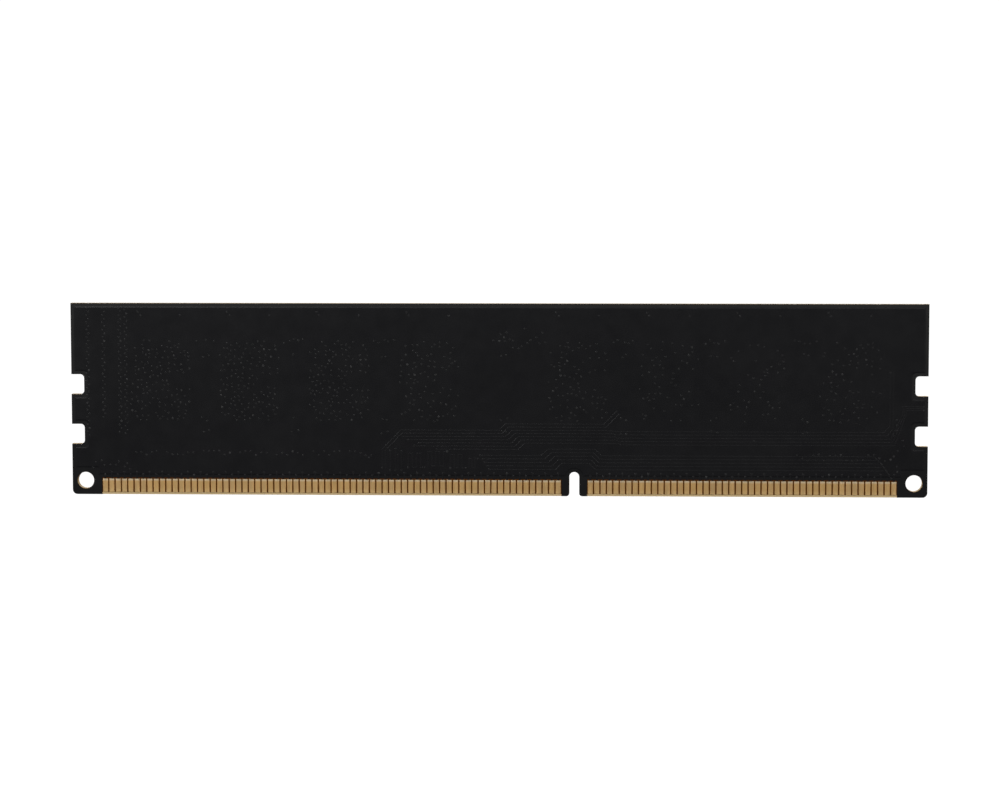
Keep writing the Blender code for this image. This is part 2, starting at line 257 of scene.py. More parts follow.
# Studio: reflected brightness below and overhead, and the heights where it begins and ends
STUDIO_LOW = 0.1
STUDIO_HIGH = 0.75
STUDIO_FROM, STUDIO_TO = -0.3, 0.9
WHITE_STRENGTH = 1.05
# The floor: half its side in metres, how far below the module it lies, and its own light
FLOOR_HALF = 6.0
FLOOR_GAP = 0.02
FLOOR_LIGHT = 1.03
# Soft lights: name, place and aim in millimetres, size in millimetres, power in watts
LIGHTS = (
    ("key_light", (-300, -400, 330), (0, 0, 15), (420, 260), 3.9),
    ("fill_light", (330, -380, 240), (0, 0, 15), (360, 240), 1.5),
    ("front_side_key", (260, 420, 330), (0, 0, 15), (420, 260), 4.4),
    ("front_side_fill", (-330, 380, 200), (0, 0, 15), (360, 240), 2.4),
)

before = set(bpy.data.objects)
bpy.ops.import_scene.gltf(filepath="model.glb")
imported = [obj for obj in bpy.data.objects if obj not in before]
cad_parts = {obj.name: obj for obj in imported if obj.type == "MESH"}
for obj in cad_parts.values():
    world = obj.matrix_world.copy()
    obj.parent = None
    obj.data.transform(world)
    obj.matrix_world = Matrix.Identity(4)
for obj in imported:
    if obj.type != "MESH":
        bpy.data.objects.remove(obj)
cad_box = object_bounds()


def corners(node):
    """A node's lowest and highest corners, in millimetres."""
    low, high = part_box(node)
    return low / MM, high / MM


BOARD_HIGH = corners("circuit_board")[1]
MASK_FACE = corners("solder_mask_front")[1].y
COPPER_FACE = corners("contacts_front_long")[1].y
LAMINATE_FACE = BOARD_HIGH.y
CHIP_BOXES = [corners(f"dram_{number}_mould") for number in range(1, 9)]
CHIP_X = [(low.x + high.x) / 2 for low, high in CHIP_BOXES]
CHIP_Z = (CHIP_BOXES[0][0].z + CHIP_BOXES[0][1].z) / 2
ARRAY_NODES = [f"resistor_array_{number:02d}" for number in range(1, 17)]
SMALL_CAPACITOR_NODES = [f"chip_capacitor_{number}" for number in range(1, 9)]
LARGE_CAPACITOR_NODES = ["bulk_capacitor_1", "bulk_capacitor_2"]


# ---- meshes


class Shape:
    """Vertices and faces collected for one mesh, in millimetres."""

    def __init__(self):
        self.verts = []
        self.faces = []
        self.marks = []

    def add(self, verts, faces, mark=0):
        """More faces, all of one material: mark is its place among the piece's materials."""
        start = len(self.verts)
        self.verts += [tuple(v) for v in verts]
        self.faces += [[start + i for i in face] for face in faces]
        self.marks += [mark] * len(faces)


def make_piece(name, shape, materials, replaced=(), smooth_angle=None, bevel=0.0, weld=False):
    """An object from a shape, riding on the module. Edges under smooth_angle, in degrees, are smooth."""
    mesh = bpy.data.meshes.new(name)
    mesh.from_pydata([tuple(MM * c for c in v) for v in shape.verts], [], shape.faces)
    for made in materials:
        mesh.materials.append(made)
    for polygon, mark in zip(mesh.polygons, shape.marks):
        polygon.material_index = mark
    if weld:
        welded = bmesh.new()
        welded.from_mesh(mesh)
        bmesh.ops.remove_doubles(welded, verts=welded.verts, dist=WELD_DISTANCE)
        bmesh.ops.recalc_face_normals(welded, faces=welded.faces)
        welded.to_mesh(mesh)
        welded.free()
    if smooth_angle is not None:
        mesh.shade_smooth()
        mesh.set_sharp_from_angle(angle=math.radians(smooth_angle))
    piece = bpy.data.objects.new(name, mesh)
    bpy.context.scene.collection.objects.link(piece)
    if bevel:
        modifier = piece.modifiers.new("edges", "BEVEL")
        modifier.width = bevel * MM
        modifier.segments = 2
        modifier.limit_method = "ANGLE"
    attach(piece, "root")
    if replaced:
        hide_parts(*replaced)


def add_box(shape, low, high, mark=0):
    """A box between two corners."""
    verts = [(x, y, z) for x in (low[0], high[0]) for y in (low[1], high[1]) for z in (low[2], high[2])]
    faces = [(0, 1, 3, 2), (4, 6, 7, 5), (0, 4, 5, 1), (2, 3, 7, 6), (0, 2, 6, 4), (1, 5, 7, 3)]
    shape.add(verts, faces, mark)


def add_pad(shape, low, high, base, face):
    """A slab on a board face, with flanks that slope in, from its foot at base to its top at face."""
    (x0, z0), (x1, z1) = low, high
    flank = CONTACT_FLANK
    foot = [(x0, base, z0), (x1, base, z0), (x1, base, z1), (x0, base, z1)]
    top = [
        (x0 + flank, face, z0 + flank),
        (x1 - flank, face, z0 + flank),
        (x1 - flank, face, z1 - flank),
        (x0 + flank, face, z1 - flank),
    ]
    around = [(i, (i + 1) % 4, 4 + (i + 1) % 4, 4 + i) for i in range(4)]
    faces = [(3, 2, 1, 0), (4, 5, 6, 7)] + around
    if face > base:
        faces = [tuple(reversed(ring)) for ring in faces]
    shape.add(foot + top, faces)


def add_trace(shape, points, side, width=TRACE_WIDTH, height=TRACE_HEIGHT):
    """A raised line along (x, z) points, mitred at its corners."""
    base = MASK_FACE - RELIEF_SINK
    half = width / 2
    section = ((-half - TRACE_FLANK, 0), (-half, height), (half, height), (half + TRACE_FLANK, 0))
    rings = []
    last = len(points) - 1
    for i, (x, z) in enumerate(points):
        before = Vector(points[i]) - Vector(points[i - 1]) if i > 0 else None
        after = Vector(points[i + 1]) - Vector(points[i]) if i < last else None
        before = (before or after).normalized()
        after = (after or before).normalized()
        along = (before + after).normalized()
        across = Vector((-along.y, along.x)) / max(along.dot(after), SHARPEST_MITRE)
        ring = []
        for offset, rise in section:
            place = Vector((x, z)) + across * offset
            ring.append((place.x, side * (base + rise), place.y))
        rings.append(ring)
    faces = []
    for i in range(last):
        a, b = 4 * i, 4 * (i + 1)
        faces += [(a + j, a + j + 1, b + j + 1, b + j) for j in range(3)]
        faces.append((a + 3, a, b, b + 3))
    faces += [(3, 2, 1, 0), tuple(4 * last + j for j in range(4))]
    if side == BACK:
        faces = [tuple(reversed(ring)) for ring in faces]
    shape.add([v for ring in rings for v in ring], faces)


def add_via(shape, x, z, side):
    """A via tented by the mask: a low ring with a dimple in its middle."""
    verts = []
    for reach, rise in VIA_PROFILE:
        radius = VIA_RADIUS * reach
        depth = side * (MASK_FACE + rise)
        for i in range(VIA_SEGMENTS):
            turn = 2 * math.pi * i / VIA_SEGMENTS
            verts.append((x + radius * math.cos(turn), depth, z + radius * math.sin(turn)))
    verts.append((x, side * (MASK_FACE - RELIEF_SINK), z))
    centre = len(verts) - 1
    faces = [tuple(range(VIA_SEGMENTS))]
    for level in range(len(VIA_PROFILE) - 1):
        for i in range(VIA_SEGMENTS):
            a, b = level * VIA_SEGMENTS + i, level * VIA_SEGMENTS + (i + 1) % VIA_SEGMENTS
            faces.append((a, a + VIA_SEGMENTS, b + VIA_SEGMENTS, b))
    top = (len(VIA_PROFILE) - 1) * VIA_SEGMENTS
    faces += [(top + i, centre, top + (i + 1) % VIA_SEGMENTS) for i in range(VIA_SEGMENTS)]
    if side == FRONT:
        faces = [tuple(reversed(ring)) for ring in faces]
    shape.add(verts, faces)


def arc(x, z, radius, start, end, steps=ARC_STEPS):
    """Points round a centre, between two angles in degrees."""
    angles = [math.radians(start + (end - start) * i / steps) for i in range(steps + 1)]
    return [(x + radius * math.cos(a), z + radius * math.sin(a)) for a in angles]


def mirrored(points):
    """The same outline on the other side of the middle, walked the same way round."""
    return [(-x, z) for x, z in reversed(points)]


def latch_end(half, height):
    """The board's right end, from below, with latch slots of a given height."""
    points = []
    inner = half - LATCH_DEPTH + LATCH_RADIUS
    for z in LATCH_CENTRES:
        low, high = z - height / 2, z + height / 2
        points.append((half, low))
        points += arc(inner, low + LATCH_RADIUS, LATCH_RADIUS, 270, 180)
        points += arc(inner, high - LATCH_RADIUS, LATCH_RADIUS, 180, 90)
        points.append((half, high))
    return points


def row_span(row):
    """Where a row's window in the mask begins and ends."""
    first, count = CONTACT_ROWS[row]
    reach = CONTACT_WIDTH / 2 + WINDOW_MARGIN
    return first - reach, first + (count - 1) * PITCH + reach


def mask_outline():
    """The mask's outline: the board's, with a window over each row of contacts."""
    half, height = BOARD_HIGH.x, BOARD_HIGH.z
    corner = arc(half - CORNER_RADIUS, CORNER_RADIUS, CORNER_RADIUS, -90, 0)
    windows = []
    for row in ("long", "short"):
        low, high = row_span(row)
        windows.append([(low, 0), (low, WINDOW_TOP), (high, WINDOW_TOP), (high, 0)])
    wall = KEY_WIDTH / 2
    key = (
        arc(KEY_X - wall - KEY_MOUTH, KEY_MOUTH, KEY_MOUTH, -90, 0)
        + arc(KEY_X, KEY_DEPTH - wall, wall, 180, 0, KEY_ARC_STEPS)
        + arc(KEY_X + wall + KEY_MOUTH, KEY_MOUTH, KEY_MOUTH, 180, 270)
    )
    end = latch_end(half, LATCH_HEIGHT) + [(half, height)]
    return mirrored(corner) + windows[0] + key + windows[1] + corner + end + mirrored(end)


def plateau_outline(inset):
    """Where the mask stands on ground copper: the board, set back from its edges, holes and key slot."""
    half, top = BOARD_HIGH.x - inset, BOARD_HIGH.z - inset
    step_x = HOLE_X - HOLE_CLEARANCE - inset + RIM_WIDTH
    step_z = HOLE_Z + HOLE_CLEARANCE + inset - RIM_WIDTH
    bottom = PLATEAU_BOTTOM + inset - RIM_WIDTH
    end = latch_end(half, LATCH_HEIGHT + 2 * inset)
    right = [(step_x, bottom), (step_x, step_z), (half, step_z)] + end + [(half, top)]
    reach = KEY_WIDTH / 2 + inset
    over_key = arc(KEY_X, KEY_DEPTH - KEY_WIDTH / 2, reach, 180, 0, KEY_ARC_STEPS)
    key = [(KEY_X - reach, bottom), *over_key, (KEY_X + reach, bottom)]
    return key + right + mirrored(right)


def add_flat(shape, loops, depth, up, mark):
    """A flat region between an outer loop and its holes."""
    points = [(x, depth, z) for loop in loops for x, z in loop]
    triangles = tessellate_polygon([[Vector((x, z, 0)) for x, z in loop] for loop in loops])
    faces = []
    for a, b, c in triangles:
        (ax, _, az), (bx, _, bz), (cx, _, cz) = points[a], points[b], points[c]
        turn = (bx - ax) * (cz - az) - (bz - az) * (cx - ax)
        faces.append((a, b, c) if (turn > 0) == (up == BACK) else (a, c, b))
    shape.add(points, faces, mark)


def add_strip(shape, loop_a, depth_a, loop_b, depth_b, mark, flip):
    """Walls between two loops that have the same number of points."""
    count = len(loop_a)
    verts = [(x, depth_a, z) for x, z in loop_a] + [(x, depth_b, z) for x, z in loop_b]
    faces = [(i, (i + 1) % count, count + (i + 1) % count, count + i) for i in range(count)]
    if flip:
        faces = [tuple(reversed(ring)) for ring in faces]
    shape.add(verts, faces, mark)


def make_mask(side, materials):
    """A closed sheet: a rim on the bare laminate, a shoulder, and a plateau over the ground copper."""
    name = "back" if side == BACK else "front"
    outline = mask_outline()
    holes = [arc(sign * HOLE_X, HOLE_Z, HOLE_RADIUS, 0, 360, HOLE_STEPS)[:-1] for sign in (-1, 1)]
    foot, brow = plateau_outline(RIM_WIDTH), plateau_outline(RIM_WIDTH + SHOULDER)
    shape = Shape()
    for lift, facing in ((0, side), (-SHEET_THICKNESS, -side)):
        rim, plateau = side * (MASK_FACE - RIM_DROP + lift), side * (MASK_FACE + lift)
        add_flat(shape, [outline, foot, *holes], rim, facing, 1)
        add_strip(shape, foot, rim, brow, plateau, 0, facing == FRONT)
        add_flat(shape, [brow], plateau, facing, 0)
    near, far = side * (MASK_FACE - RIM_DROP), side * (MASK_FACE - RIM_DROP - SHEET_THICKNESS)
    add_strip(shape, outline, near, outline, far, 1, side == BACK)
    for hole in holes:
        add_strip(shape, hole, near, hole, far, 1, side == FRONT)
    replaced = [f"solder_mask_{name}"]
    make_piece(f"mask_{name}_sheet", shape, materials, replaced, weld=True)


# ---- layout of the traces and vias


def bus(first, count, pitch, route):
    """Parallel traces. A route corner is (x, z, slide_x, slide_z): the slides move it right and down,
    in pitches, for each further trace."""
    lines = []
    for i in range(first, first + count):
        slid = i * pitch
        lines.append([(x + slid * slide_x, z - slid * slide_z) for x, z, slide_x, slide_z in route])
    return lines


def meander(x, low, high, step, turns):
    """A tuning loop: up, across, down, across and so on."""
    points = [(x, low)]
    for i in range(turns):
        level = high if i % 2 == 0 else low
        left = x + i * step
        points += [(left, level), (left + step, level)]
    # The turns end here too, exactly or to rounding
    last = (x + turns * step, low if turns % 2 == 0 else high)
    return points if points[-1] == last else [*points, last]


def back_traces():
    """The buses between the chips and the contacts, the stubs and the tuning loops."""
    corner = [(-17.97, 4.3, 1, 0), (-17.97, 7.25, 1, 0.41), (-14.96, 10.23, 0.41, 1)]
    step_up = [(0.3, 10.23, 1, 1), (1.3, 11.23, 1, 1)]
    to_chips = [(16.6, 11.23, 0.6, 1), (18.6, 13.23, 0.6, 1)]
    jog = [(17.2, 11.23, 0.6, 1), (17.3, 11.13, 0.6, 1.04)]
    climb = [(58.9, 11.13, 1, 1.04), (59.8, 12.03, 1, 1), (59.8, 19.4, 1, 0)]
    to_latch = [(59.8, 11.13, 0.59, 1.04), (61.6, 12.93, 0.59, 0)]
    past_latch = [(61.6, 15.3, 0.59, 0.6), (66.0, 15.3, 0, 0.6)]
    lines = bus(0, 2, BUS_PITCH, corner + step_up + to_chips)
    for i, start in BUS_STARTS:
        ends = climb if i < BUS_TO_LATCH else to_latch + past_latch
        begin = [(start - i * BUS_PITCH, 10.23, 1, 1)]
        lines += bus(i, 1, BUS_PITCH, begin + step_up + jog + ends)
    under = [(-2.6, 6.3, 0.6, 1), (6.9, 6.3, 1, 1), (7.9, 7.3, 1, 1)]
    past_key = [(15.2, 7.3, -0.4, 1), (16.2, 6.3, -0.4, 1), (58.4, 6.3, 0.7, 1), (59.6, 5.1, 0.7, 1)]
    lines += bus(0, 5, LOWER_BUS_PITCH, under + past_key)
    for x, top in STUBS:
        lines.append([(x, STUB_BOTTOM), (x, top)])
    for x, low, high, step, turns in MEANDERS:
        lines.append(meander(x, low, high, step, turns))
    return lines


def chip_vias(random_source):
    """Vias of each chip's escape pattern, in a rounded square with a bare patch right of its middle."""
    places = []
    reach_x, reach_z = CHIP_VIA_REACH
    (patch_left, patch_low), (patch_right, patch_high) = BARE_PATCH_LOW, BARE_PATCH_HIGH
    for x, tries in zip(CHIP_X, CHIP_VIA_TRIES):
        for _ in range(tries):
            across, up = random_source.uniform(-1, 1), random_source.uniform(-1, 1)
            in_patch = patch_left < across < patch_right and patch_low < up < patch_high
            spread = abs(across) ** CHIP_VIA_ROUNDNESS + abs(up) ** CHIP_VIA_ROUNDNESS
            if not in_patch and spread <= CHIP_VIA_LIMIT:
                places.append((x + across * reach_x, CHIP_Z + up * reach_z))
    return places


def stitching_vias():
    """Three columns of vias down the left end, each in a zigzag."""
    places = []
    for x, low, offsets in STITCH_COLUMNS:
        for i in range(int((STITCH_TOP - low) / STITCH_PITCH)):
            z = STITCH_TOP - i * STITCH_PITCH
            swing = STITCH_SWINGS[i % 2]
            places += [(x + across + swing, z + up) for across, up in offsets]
    return places


def via_row(random_source, first, pitch, count, z, lowest, highest):
    """A row of vias along the board, each moved up or down by chance."""
    return [(first + pitch * i, z + random_source.uniform(lowest, highest)) for i in range(count)]


def loose_vias(random_source):
    """Small groups between the chips, along the top edge, by the identification memory and the contacts."""
    places = []
    for a, b in zip(CHIP_X, CHIP_X[1:]):
        for z, count in GAP_VIAS:
            for i in range(count):
                x = (a + b) / 2 + (i - (count - 1) / 2) * GAP_VIA_PITCH
                x += random_source.uniform(-GAP_SCATTER_X, GAP_SCATTER_X)
                places.append((x, z + random_source.uniform(-GAP_SCATTER_Z, GAP_SCATTER_Z)))
    places += [(x + across, z) for x in CHIP_X for across, z in TOP_VIAS]
    places += via_row(random_source, *MEMORY_VIAS)
    for i in range(LONG_ROW_COUNT):
        if i % LONG_ROW_CYCLE != LONG_ROW_MISSING:
            z = LONG_ROW_Z + random_source.choice(LONG_ROW_STEPS)
            places.append((LONG_ROW_FIRST + LONG_ROW_PITCH * i, z))
    places += via_row(random_source, *RIGHT_VIAS)
    places += via_row(random_source, *LEFT_VIAS)
    for i in range(COLUMN_COUNT):
        places.append((COLUMN_X + random_source.uniform(*COLUMN_SCATTER), COLUMN_Z + COLUMN_PITCH * i))
    return places


def contact_necks():
    """The short trace that leaves the top of each contact, with its via. Returns traces and vias."""
    traces, vias = [], []
    for first, count in CONTACT_ROWS.values():
        for i in range(count):
            x = first + i * PITCH
            top = NECK_TOP + (NECK_STAGGER if i % 2 else 0.0)
            if abs(x - KEY_X) > KEY_WIDTH:
                traces.append([(x, CONTACT_TOP + NECK_GAP), (x, top)])
                vias.append((x, top + NECK_VIA_OFFSET))
    return traces, vias


def apart(places, gap):
    """The places that keep a gap from every earlier one, found by cells one gap wide."""
    kept = []
    cells = {}
    for x, z in places:
        column, row = round(x / gap), round(z / gap)
        around = [(column + dx, row + dz) for dx in (-1, 0, 1) for dz in (-1, 0, 1)]
        near = [place for cell in around for place in cells.get(cell, ())]
        if all(math.hypot(x - near_x, z - near_z) >= gap for near_x, near_z in near):
            kept.append((x, z))
            cells.setdefault((column, row), []).append((x, z))
    return kept


def beside(x, z, low, high):
    """Whether a place is in a box's footprint or within a margin of it."""
    across = low.x - FOOTPRINT_MARGIN < x < high.x + FOOTPRINT_MARGIN
    up = low.z - FOOTPRINT_MARGIN < z < high.z + FOOTPRINT_MARGIN
    return across and up


def clear_of(places, boxes):
    """The places that no box is on or beside."""
    return [(x, z) for x, z in places if not any(beside(x, z, low, high) for low, high in boxes)]


def front_traces():
    """Short runs from the contacts to the arrays and on, buses from chip to chip, and one below them."""
    lines = []
    for node in ARRAY_NODES:
        low, high = corners(node)
        centre = (low.x + high.x) / 2
        for i in range(4):
            x = centre + (i - 1.5) * LEAD_PITCH
            lines.append([(x, ARRAY_TRACE_BOTTOM), (x, low.z - ARRAY_TRACE_GAP)])
            lean = (i - 1.5) * ARRAY_FAN
            fan = [(x + lean, FAN_LOW + abs(lean)), (x + lean, FAN_HIGH + abs(lean))]
            lines.append([(x, high.z + ARRAY_TRACE_GAP), (x, FAN_LOW), *fan])
    for a, b in zip(CHIP_X, CHIP_X[1:]):
        middle = (a + b) / 2
        high_z = CHIP_BUS_Z + CHIP_BUS_STEP
        leave = [(a + CHIP_BUS_END, CHIP_BUS_Z, 0, 1), (middle - CHIP_BUS_STEP, CHIP_BUS_Z, 0, 1)]
        arrive = [(middle, high_z, 0, 1), (b - CHIP_BUS_END, high_z, 0, 1)]
        lines += bus(0, 5, FRONT_BUS_PITCH, leave + arrive)
    left, right = CHIP_X[0] - LONG_BUS_END, CHIP_X[-1] + LONG_BUS_END
    lines += bus(0, 4, FRONT_BUS_PITCH, [(left, LONG_BUS_Z, 0, 1), (right, LONG_BUS_Z, 0, 1)])
    return lines


def make_relief(side, places, lines, line_material, via_material):
    """The traces and vias of one face, as two pieces."""
    name = "back" if side == BACK else "front"
    traces = Shape()
    for line in lines:
        add_trace(traces, line, side)
    make_piece(f"mask_{name}_traces", traces, [line_material])
    vias = Shape()
    for x, z in places:
        add_via(vias, x, z, side)
    make_piece(f"mask_{name}_vias", vias, [via_material], smooth_angle=60)


def make_scratches(material):
    """Two fine scratches in the back's mask, as low ridges that catch the light."""
    shape = Shape()
    for line in SCRATCHES:
        add_trace(shape, line, BACK, SCRATCH_WIDTH, SCRATCH_HEIGHT)
    make_piece("mask_back_scratches", shape, [material])


def make_contacts(material):
    """Both faces' gold contacts, one slab each, in a piece for each row."""
    for side, name in ((BACK, "back"), (FRONT, "front")):
        base, face = side * (LAMINATE_FACE + CONTACT_LIFT), side * COPPER_FACE
        for row, (first, count) in CONTACT_ROWS.items():
            shape = Shape()
            for i in range(count):
                x = first + i * PITCH
                low, high = (x - CONTACT_WIDTH / 2, CONTACT_BOTTOM), (x + CONTACT_WIDTH / 2, CONTACT_TOP)
                add_pad(shape, low, high, base, face)
            replaced = [f"contacts_{name}_{row}"]
            make_piece(f"gold_contacts_{name}_{row}", shape, [material], replaced)


# ---- chips and small parts


def add_ball(shape, x, z, near, far):
    """A solder ball squashed between two depths."""
    middle, half = (near + far) / 2, (far - near) / 2
    verts = []
    for ring in range(BALL_RINGS + 1):
        tilt = math.radians(-BALL_CUT + 2 * BALL_CUT * ring / BALL_RINGS)
        reach = BALL_RADIUS * math.cos(tilt)
        rise = half * math.sin(tilt) / math.sin(math.radians(BALL_CUT))
        for i in range(BALL_SEGMENTS):
            turn = 2 * math.pi * i / BALL_SEGMENTS
            verts.append((x + reach * math.cos(turn), middle + rise, z + reach * math.sin(turn)))
    top = BALL_RINGS * BALL_SEGMENTS
    faces = [tuple(range(BALL_SEGMENTS)), tuple(reversed(range(top, top + BALL_SEGMENTS)))]
    for start in range(0, top, BALL_SEGMENTS):
        for i in range(BALL_SEGMENTS):
            a, b = start + i, start + (i + 1) % BALL_SEGMENTS
            faces.append((a, a + BALL_SEGMENTS, b + BALL_SEGMENTS, b))
    shape.add(verts, faces)


def make_chip_bases(substrate, solder):
    """Each chip's substrate as a thin board, and its balls as round ones."""
    for number, (x, (low, high)) in enumerate(zip(CHIP_X, CHIP_BOXES), start=1):
        top = low.y - SUBSTRATE_GAP
        bottom = top - SUBSTRATE_THICKNESS
        slab = Shape()
        add_box(slab, (low.x, bottom, low.z), (high.x, top, high.z))
        replaced = [f"dram_{number}_substrate"]
        make_piece(f"dram_{number}_base", slab, [substrate], replaced, bevel=0.015)
        balls = Shape()
        for column in BALL_COLUMNS:
            for row in BALL_ROWS:
                ball_x, ball_z = x + column * BALL_PITCH, CHIP_Z + row * BALL_PITCH
                add_ball(balls, ball_x, ball_z, MASK_FACE - BALL_SINK, bottom)
        make_piece(f"dram_{number}_balls", balls, [solder], smooth_angle=50)


def add_fillet(shape, edge, across, reach, rise, direction, turned):
    """A concave bead of solder at one end of a part: edge is where it meets the part."""
    base = MASK_FACE - FILLET_SINK
    profile = [(0.0, 0.0)]
    for i in range(FILLET_STEPS + 1):
        turn = math.radians(90 * i / FILLET_STEPS)
        profile.append((reach * (1 - math.sin(turn)), rise * (1 - math.cos(turn))))
    verts = []
    for side in across:
        for out, up in profile:
            along = edge + direction * out
            verts.append((side, base + up, along) if turned else (along, base + up, side))
    count = len(profile)
    faces = [tuple(range(count)), tuple(range(2 * count - 1, count - 1, -1))]
    faces += [(i, (i + 1) % count, count + (i + 1) % count, count + i) for i in range(count)]
    shape.add(verts, faces)


def add_chip_part(body, ends, low, high, turned):
    """A two-ended part: a body between two metal caps, with a fillet of solder at each end."""
    axis = 2 if turned else 0
    other = 0 if turned else 2
    cap = END_SHARE * (high[axis] - low[axis])
    across = (low[other] - FILLET_OVERHANG, high[other] + FILLET_OVERHANG)
    rise = FILLET_SHARE * (high[1] - MASK_FACE)
    core_low, core_high = list(low), list(high)
    core_low[axis] += BODY_INSET
    core_high[axis] -= BODY_INSET
    add_box(body, core_low, core_high)
    for direction in (-1, 1):
        edge = low[axis] if direction < 0 else high[axis]
        cap_low = [c - END_GROWTH for c in low]
        cap_high = [c + END_GROWTH for c in high]
        cap_low[axis], cap_high[axis] = sorted((edge, edge - direction * cap))
        cap_low[1] = MASK_FACE + END_GAP
        add_box(ends, cap_low, cap_high)
        add_fillet(ends, edge, across, FILLET_REACH, rise, direction, turned)


def tiny_part_boxes():
    """Places of the smallest capacitors, as (low, high, turned)."""
    sites = [(x + across, z, turned) for x in CHIP_X for across, z, turned in TINY_BY_CHIP]
    for a, b in zip(CHIP_X, CHIP_X[1:]):
        x = (a + b) / 2
        group = TINY_BY_GAP
        if b - a >= WIDE_CHIP_GAP:
            group = TINY_BY_WIDE_GAP
            for i in range(TINY_ROW_COUNT):
                sites.append((x + TINY_ROW_PITCH * (i - (TINY_ROW_COUNT - 1) / 2), TINY_ROW_Z, True))
        sites += [(x + across, z, turned) for across, z, turned in group]
    boxes = []
    for x, z, turned in sites:
        half_x, half_z = TINY_HALF_LENGTH, TINY_HALF_WIDTH
        if turned:
            half_x, half_z = half_z, half_x
        low = Vector((x - half_x, MASK_FACE + TINY_BOTTOM, z - half_z))
        high = Vector((x + half_x, MASK_FACE + TINY_TOP, z + half_z))
        boxes.append((low, high, turned))
    return boxes


def make_capacitors(ceramic, tin, tiny):
    """The capacitors that have CAD nodes, the tiny ones, and the metal ends and solder of both."""
    ends = Shape()
    for node in SMALL_CAPACITOR_NODES + LARGE_CAPACITOR_NODES:
        low, high = corners(node)
        body = Shape()
        add_chip_part(body, ends, low, high, high.z - low.z > high.x - low.x)
        make_piece(f"{node}_body", body, [ceramic], [node], bevel=0.05)
    bodies = Shape()
    for low, high, turned in tiny:
        add_chip_part(bodies, ends, low, high, turned)
    make_piece("tiny_capacitor_bodies", bodies, [ceramic], bevel=0.03)
    make_piece("capacitor_ends", ends, [tin], bevel=0.02)


def make_resistor_arrays(glass, alumina, tin):
    """Four resistors on each ceramic chip: dark glass on a pale body, and metal at both ends of each."""
    ends = Shape()
    for node in ARRAY_NODES:
        low, high = corners(node)
        body = Shape()
        ceramic_low = (low.x, low.y, low.z + CERAMIC_INSET)
        ceramic_high = (high.x, high.y - CERAMIC_DROP, high.z - CERAMIC_INSET)
        add_box(body, ceramic_low, ceramic_high, 1)
        glass_low = (low.x + GLASS_INSET, high.y - GLASS_DEPTH, low.z + GLASS_MARGIN)
        glass_high = (high.x - GLASS_INSET, high.y, high.z - GLASS_MARGIN)
        add_box(body, glass_low, glass_high, 0)
        make_piece(f"{node}_body", body, [glass, alumina], [node], bevel=0.02)
        for i in range(4):
            x = (low.x + high.x) / 2 + (i - 1.5) * LEAD_PITCH
            left, right = x - ARRAY_END_HALF_WIDTH, x + ARRAY_END_HALF_WIDTH
            for edge, direction in ((low.z, -1), (high.z, 1)):
                z0, z1 = sorted((edge, edge - direction * ARRAY_END_DEPTH))
                add_box(ends, (left, MASK_FACE + END_GAP, z0), (right, high.y - ARRAY_END_DROP, z1))
                across = (x - ARRAY_FILLET_HALF_WIDTH, x + ARRAY_FILLET_HALF_WIDTH)
                add_fillet(ends, edge, across, LEAD_FILLET_REACH, ARRAY_FILLET_RISE, direction, True)
    make_piece("resistor_array_ends", ends, [tin], bevel=0.02)


def make_identification_memory(moulding, tin):
    """The small leadless chip: its moulding, and four pads and their solder along two of its sides."""
    low, high = corners("identification_memory")
    body = Shape()
    add_box(body, (low.x, low.y + MEMORY_LIFT, low.z), (high.x, high.y, high.z))
    replaced = ["identification_memory"]
    make_piece("identification_memory_body", body, [moulding], replaced, bevel=0.05)
    pads = Shape()
    for i in range(4):
        x = (low.x + high.x) / 2 + (i - 1.5) * LEAD_PITCH
        left, right = x - PAD_HALF_WIDTH, x + PAD_HALF_WIDTH
        for edge, direction in ((low.z, -1), (high.z, 1)):
            outer = edge + direction * PAD_OUT
            z0, z1 = sorted((outer, edge - direction * PAD_IN))
            add_box(pads, (left, MASK_FACE + PAD_LIFT, z0), (right, low.y + PAD_HEIGHT, z1))
            add_fillet(pads, outer, (left, right), LEAD_FILLET_REACH, PAD_FILLET_RISE, direction, True)
    make_piece("identification_memory_pads", pads, [tin], bevel=0.015)


# ---- materials


